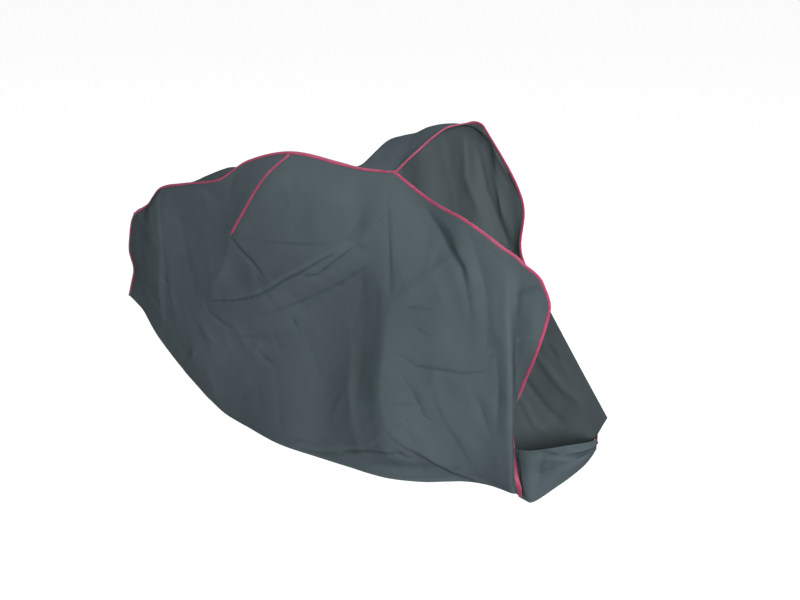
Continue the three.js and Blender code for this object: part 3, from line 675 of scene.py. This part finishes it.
def tape_object(name, rings, material):
    """A tape lofted through closed rings of points, with its run in metres as UV."""
    count, corners = rings.shape[:2]
    index = np.arange(count * corners).reshape(count, corners)
    ahead = np.roll(index, -1, axis=1)
    quads = np.stack([index[:-1], ahead[:-1], ahead[1:], index[1:]], -1).reshape(-1, 4).tolist()
    faces = quads + [index[0, ::-1].tolist(), index[-1].tolist()]
    mesh = bpy.data.meshes.new(name)
    mesh.from_pydata(rings.reshape(-1, 3), [], faces)
    places = np.meshgrid(way_along(rings.mean(1)), way_along(rings[0]), indexing="ij")
    lay_flat(mesh, "run", np.stack(places, -1).reshape(-1, 2))
    shell = bmesh.new()
    shell.from_mesh(mesh)
    bmesh.ops.recalc_face_normals(shell, faces=shell.faces)
    shell.to_mesh(mesh)
    shell.free()
    return finished(name, mesh, TAPE_SHARP, material)


def stitch_tree():
    """Geometry nodes that set stitches of thread along lines of points with a facing."""
    tree = bpy.data.node_groups.new("stitch_rows", "GeometryNodeTree")
    face = tree.interface
    face.new_socket("Lines", in_out="INPUT", socket_type="NodeSocketGeometry")
    for name in STITCH:
        face.new_socket(name, in_out="INPUT", socket_type="NodeSocketFloat")
    face.new_socket("Thread", in_out="INPUT", socket_type="NodeSocketMaterial")
    face.new_socket("Seed", in_out="INPUT", socket_type="NodeSocketInt")
    face.new_socket("Stitches", in_out="OUTPUT", socket_type="NodeSocketGeometry")
    given = tree.nodes.new("NodeGroupInput")
    inputs = {name: Wire(tree, given.outputs[name]) for name in ("Lines", *STITCH, "Thread", "Seed")}
    curves = Wire.node(tree, "GeometryNodeMeshToCurve", None, {"Mesh": inputs["Lines"]})
    spaced = Wire.node(tree, "GeometryNodeResampleCurve", {"mode": "LENGTH"},
                       {"Curve": curves, "Length": inputs["Pitch"]})
    tangent = Wire.node(tree, "GeometryNodeInputTangent")
    facing = Wire.node(tree, "GeometryNodeInputNamedAttribute",
                       {"data_type": "FLOAT_VECTOR"}, {"Name": "facing"})
    aimed = Wire.node(tree, "FunctionNodeAlignRotationToVector", {"axis": "X"}, {"Vector": tangent})
    turned = Wire.node(tree, "FunctionNodeAlignRotationToVector", {"axis": "Z", "pivot_axis": "X"},
                       {"Rotation": aimed, "Vector": facing})
    grain = Wire.node(tree, "GeometryNodeMeshUVSphere", None, {"Segments": 6, "Rings": 4, "Radius": 0.5})
    vary = Wire.node(tree, "FunctionNodeRandomValue", {"data_type": "FLOAT"},
                     {2: STITCH_SHORTEST, 3: STITCH_LONGEST, "Seed": inputs["Seed"]}, 1)
    size = Wire.node(tree, "ShaderNodeCombineXYZ", None,
                     {"X": inputs["Length"] * vary, "Y": inputs["Width"], "Z": inputs["Width"]})
    placed = Wire.node(tree, "GeometryNodeInstanceOnPoints", None,
                       {"Points": spaced, "Instance": grain, "Rotation": turned, "Scale": size})
    real = Wire.node(tree, "GeometryNodeRealizeInstances", None, {"Geometry": placed})
    sewn = Wire.node(tree, "GeometryNodeSetMaterial", None,
                     {"Geometry": real, "Material": inputs["Thread"]})
    sewn.feed(tree.nodes.new("NodeGroupOutput"), "Stitches")
    return tree


def stitch_object(name, lines, thread, seed):
    """Rows of stitches: each line is its points and the way that its stitches face."""
    mesh = bpy.data.meshes.new(name)
    starts = np.cumsum([0] + [len(points) for points, facing in lines])
    edges = [(k, k + 1) for start, stop in zip(starts, starts[1:]) for k in range(start, stop - 1)]
    mesh.from_pydata(np.concatenate([points for points, facing in lines]), edges, [])
    facing = mesh.attributes.new("facing", "FLOAT_VECTOR", "POINT")
    facing.data.foreach_set("vector", np.concatenate([facing for points, facing in lines]).ravel())
    made = in_scene(name, mesh)
    rows = made.modifiers.new("rows", "NODES")
    rows.node_group = stitches
    wanted = {**STITCH, "Thread": thread, "Seed": seed}
    for socket in stitches.interface.items_tree:
        if socket.name in wanted:
            rows[socket.identifier] = wanted[socket.name]
    sewn = bpy.data.meshes.new_from_object(made.evaluated_get(bpy.context.evaluated_depsgraph_get()))
    made.modifiers.remove(rows)
    made.data = sewn
    sewn.polygons.foreach_set("use_smooth", np.ones(len(sewn.polygons), bool))
    return made


def sewn_frame(edge, normal, side, cell):
    """Points along a cloth edge, ways into the cloth and ways off it; side says where the cloth is."""
    places = finer(np.stack([edge, edge + FACING_ARM * normal], 1), cell)[0]
    edge = places[:, 0]
    along = unit(np.gradient(edge, axis=0))
    into = side * unit(np.cross(places[:, 1] - edge, along))
    return edge, into, side * unit(np.cross(along, into))


def carried(held, reach, rise):
    """The points of a sewn edge, moved into the cloth and off it; held is what sewn_frame gives."""
    edge, into, off = held
    return edge + reach * into + rise * off


def even_share(values, count):
    """As many of the values as count says, evenly spread, with both ends."""
    return values[np.linspace(0, len(values) - 1, count).round().astype(int)]


def trim(piece, node=None):
    """A piece of the binding moves with the cover, and the part that it stands for, if one is given, is
    hidden.
    """
    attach(piece, "root")
    if node:
        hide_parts(node)


tape = woven_tape("crimson_tape")
thread = sewing_thread("crimson_thread")
stitches = stitch_tree()
apex = np.linalg.norm(near_rows[0] - np.array(APEX), axis=1).argmin()
halves = []
for rows, turn in ((near_rows, -1), (far_rows, 1)):
    normal = outward(rows, turn)
    # The way off the cloth is taken two rows in from its edge.
    edge = np.concatenate([rows[:0:-1, 0], rows[0, :apex + 1]])
    faced = np.concatenate([normal[:0:-1, 2], normal[2, :apex + 1]])
    halves.append(sewn_frame(edge, faced, turn, TAPE_CELL))
count = min(len(edge) for edge, into, off in halves)
near_half, far_half = [[even_share(values, count) for values in half] for half in halves]
middle = (carried(near_half, -RIDGE_BEYOND, 0) + carried(far_half, -RIDGE_BEYOND, 0)) / 2
up = unit(near_half[2] + far_half[2])
ring = [carried(near_half, *place) for place in SPINE_FOLD]
ring += [middle + RIDGE_OUTSIDE * up]
ring += [carried(far_half, *place) for place in SPINE_FOLD[::-1] + SPINE_LINING[::-1]]
ring += [middle + RIDGE_INSIDE * up]
ring += [carried(near_half, *place) for place in SPINE_LINING]
spine_tape = tape_object("spine_tape", np.stack(ring, 1), tape)
trim(spine_tape, "binding_spine")
spine_lines = [(carried(half, *SPINE_STITCH), half[2]) for half in (near_half, far_half)]
spine_stitches = stitch_object("spine_stitches", spine_lines, thread, 1)
trim(spine_stitches)


# Near edge binding. The same tape, folded over the near panel's front edge and sewn through both of
# its halves. It runs from the apex down to the floor, and is pressed open wider at its foot, where
# the toe gusset is sewn in behind it.
# The fold's section: beyond the cloth's edge, and off the cloth's outer face.
EDGE_FOLD = [
    (0.0014, 0.0004), (0.0010, 0.0008), (0.0015, 0.0012), (0.0034, 0.0015), (0.0056, 0.0016),
    (0.0078, 0.0014), (0.0092, 0.0008), (0.0098, -0.0006), (0.0092, -0.0020), (0.0078, -0.0026),
    (0.0056, -0.0028), (0.0034, -0.0027), (0.0015, -0.0024), (0.0010, -0.0020), (0.0014, -0.0016),
    (0.0040, -0.0015), (0.0060, -0.0014), (0.0067, -0.0006), (0.0060, 0.0002), (0.0040, 0.0003),
]
EDGE_WIDTH = max(over for over, rise in EDGE_FOLD)
# The stitches' line: beyond the cloth's edge, off its outer face, and off it on the inside.
EDGE_STITCH = (0.0028, 0.0013, -0.0025)
# How far the tape wavers over the edge and in its thickness, and its waves in radians to a metre.
EDGE_RIPPLE = 0.0003
EDGE_SWELL = 0.10
EDGE_WAVES = (90, 420)
EDGE_WAVE_COUNT = 4
# By how many points the swelling lags behind the ripple.
SWELL_LAG = 9
# The opened foot: how far up it reaches, over what length it opens, and its stitches' place across.
FOOT_REACH = 0.15
FOOT_OPENING = 0.06
FOOT_STITCH = 0.7


def edge_tape(name, node, rows, turn, first, last, seed, foot):
    """A tape folded over a panel's front edge, from column first of its top down to row last.

    foot is how much wider it is opened at its lower end.
    """
    normal = outward(rows, turn)
    # The way off the cloth is taken two rows in from its edge, and stays the same round the corner.
    edge = np.concatenate([rows[0, first:], rows[1:last, -1]])
    faced = np.concatenate([normal[2, first:-2], normal[2, [-3, -3]], normal[1:last, -3]])
    edge, into, off = sewn_frame(edge, faced, turn, TAPE_CELL)
    random = np.random.default_rng(seed)
    run = np.arange(len(edge)) * TAPE_CELL
    waves = [np.sin(run * random.uniform(*EDGE_WAVES) + random.uniform(*ANY_PHASE))
             for _ in range(EDGE_WAVE_COUNT)]
    waver = sum(waves) / EDGE_WAVE_COUNT
    edge = edge + EDGE_RIPPLE * waver[:, None] * into
    thick = 1 + EDGE_SWELL * np.roll(waver, SWELL_LAG)[:, None]
    opened = foot * np.clip((FOOT_REACH - run[-1] + run) / FOOT_OPENING, 0, 1)[:, None]
    rim = EDGE_WIDTH * opened * into
    held = edge, into, thick * off
    ring = [carried(held, -over, rise) + (1 - over / EDGE_WIDTH) * rim for over, rise in EDGE_FOLD]
    made = tape_object(name, np.stack(ring, 1), tape)
    trim(made, node)
    beyond, outer, inner = EDGE_STITCH
    lines = [(carried(held, -beyond, rise) + FOOT_STITCH * rim, facing)
             for rise, facing in ((outer, off), (inner, -off))]
    sewn = stitch_object(name.replace("tape", "stitches"), lines, thread, seed)
    trim(sewn)
    return made, sewn


near_tape = edge_tape("near_edge_tape", "binding_near_edge", near_rows, -1, apex, None, 2, 1.0)


# Far edge binding. The same tape, folded over the far panel's front edge from the apex over the
# shoulder peak and sewn in the same way. It ends inside the front, where a plain hem goes on.
FAR_TAPE_END = (0.696, 0.231, -0.344)
far_last = np.linalg.norm(far_rows[:, -1] - np.array(FAR_TAPE_END), axis=1).argmin() + 1
far_tape = edge_tape("far_edge_tape", "binding_far_edge", far_rows, 1, apex, far_last, 3, 0.0)


# Dart binding. A short length of the tape over the dart that shapes the near panel behind the hump.
# It lies on the outer face, sewn along both rims, and ends in a narrowed tip.
# Its line in x and z, and its section: across the tape and off the cloth.
DART_LINE = [
    (0.003, 0.0045), (-0.036, -0.040), (-0.066, -0.090), (-0.100, -0.150), (-0.132, -0.200),
    (-0.160, -0.243),
]
DART_SECTION = [
    (-0.0044, 0.0004), (-0.0048, 0.0009), (-0.0041, 0.0016), (-0.0021, 0.0022), (0.0, 0.0025),
    (0.0021, 0.0022), (0.0041, 0.0016), (0.0048, 0.0009), (0.0044, 0.0004), (0.0, 0.0003),
]
DART_STITCH = (0.0032, 0.0020)
DART_CELL = 0.004
DART_TIP = 0.014
DART_TIP_WIDTH = 0.35
ground = BVHTree.FromObject(near_panel, bpy.context.evaluated_depsgraph_get())
dart_line, dart_places = finer(np.array([[(x, -1, z)] for x, z in DART_LINE]), DART_CELL)
hits = [ground.ray_cast(Vector(point), Vector((0, 1, 0))) for point in dart_line[:, 0]]
centre = np.array([hit[0] for hit in hits])
off = unit(np.array([hit[1] for hit in hits]))
along = unit(np.gradient(centre, axis=0))
across = unit(np.cross(off, along))
off = np.cross(along, across)
from_tip = np.clip((dart_places[-1] - dart_places) / DART_TIP, 0, 1)[:, None]
across = (DART_TIP_WIDTH + (1 - DART_TIP_WIDTH) * from_tip) * across
dart_held = centre, across, off
ring = [carried(dart_held, *place) for place in DART_SECTION]
dart_tape = tape_object("dart_tape", np.stack(ring, 1), tape)
trim(dart_tape, "binding_dart")
reach, rise = DART_STITCH
dart_lines = [(carried(dart_held, side * reach, rise), off) for side in (-1, 1)]
dart_stitches = stitch_object("dart_stitches", dart_lines, thread, 5)
trim(dart_stitches)


# Toe tip binding. A short length of the tape over the seam that joins the end of the toe gusset to
# the far panel's front hem. It lies on the outer face, sewn to both cloths.
# Its section: how far over from the gusset's end to the far panel, as a share, and off the cloth.
TIP_SECTION = [
    (-0.14, 0.0004), (-0.17, 0.0010), (-0.12, 0.0018), (0.40, 0.0026), (0.92, 0.0018),
    (0.99, 0.0006), (0.92, -0.0004), (0.40, 0.0006), (0.0, 0.0004),
]
TIP_CELL = 0.003
edge, _, off = sewn_frame(toe_rows[:, -1], outward(toe_rows, 1)[:, -2], 1, TIP_CELL)
far_face = BVHTree.FromObject(far_panel, bpy.context.evaluated_depsgraph_get())
over = np.array([far_face.find_nearest(Vector(point))[0] for point in edge]) - edge
ring = [carried((edge, over, off), *place) for place in TIP_SECTION]
tip_tape = tape_object("toe_tip_tape", np.stack(ring, 1), tape)
trim(tip_tape, "binding_toe_tip")


# Stage. A wide sheet of pale paper under the hem, a backdrop as pale as the paper, and soft studio
# light from the front right, with a weaker light from above and one from behind.
PAPER_GLOW = 0.95
PAPER_HALF = 40
PAPER_GAP = 0.0005
ROOM_LIGHT = 0.08
VIEW_FROM = (1.594, -2.491, 0.707)
VIEW_AIM = (0.368, 0.0, -0.403)
VIEW_LENS = 44.8
floor_mesh = bpy.data.meshes.new("floor")
floor_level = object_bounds()[0].z - PAPER_GAP
floor_corners = [(x * PAPER_HALF, y * PAPER_HALF, floor_level)
                 for x, y in ((-1, -1), (1, -1), (1, 1), (-1, 1))]
floor_mesh.from_pydata(floor_corners, [], [(0, 1, 2, 3)])
floor = in_scene("floor", floor_mesh)
paper, _, pale = new_finish("pale_floor")
pale.inputs["Base Color"].default_value = (0.08, 0.08, 0.08, 1)
pale.inputs["Roughness"].default_value = 0.9
pale.inputs["Emission Color"].default_value = (1, 1, 1, 1)
pale.inputs["Emission Strength"].default_value = PAPER_GLOW
floor_mesh.materials.append(paper)

world = bpy.data.worlds.new("studio")
world.use_nodes = True
backdrop = world.node_tree.nodes["Background"]
backdrop.inputs["Color"].default_value = (1, 1, 1, 1)
seen = Wire.node(world.node_tree, "ShaderNodeLightPath", output="Is Camera Ray")
glow = ROOM_LIGHT + seen * (PAPER_GLOW - ROOM_LIGHT)
glow.feed(backdrop, "Strength")
bpy.context.scene.world = world


def turn_towards(place, aim):
    """The turn that points a lamp or a lens from one place at another."""
    return (Vector(aim) - Vector(place)).to_track_quat("-Z", "Y").to_euler()


def soft_box(name, place, aim, size, power):
    """A round lamp of the size given, in metres and watts."""
    lamp = bpy.data.lights.new(name, "AREA")
    lamp.shape = "DISK"
    lamp.size = size
    lamp.energy = power
    made = in_scene(name, lamp)
    made.location = place
    made.rotation_euler = turn_towards(place, aim)


soft_box("key", (3.6, -3.9, 1.6), (0.3, 0.0, -0.4), 1.6, 1120)
soft_box("back", (1.6, 3.6, 1.2), (0.1, 0.0, -0.5), 2.4, 200)
soft_box("top", (0.0, 0.6, 2.8), (0.1, 0.0, -0.4), 2.4, 140)

lens = bpy.data.cameras.new("camera")
lens.sensor_width = 36
lens.lens = VIEW_LENS
camera = in_scene("camera", lens)
camera.location = VIEW_FROM
camera.rotation_euler = turn_towards(VIEW_FROM, VIEW_AIM)
bpy.context.scene.camera = camera
bpy.context.scene.view_settings.view_transform = "Standard"
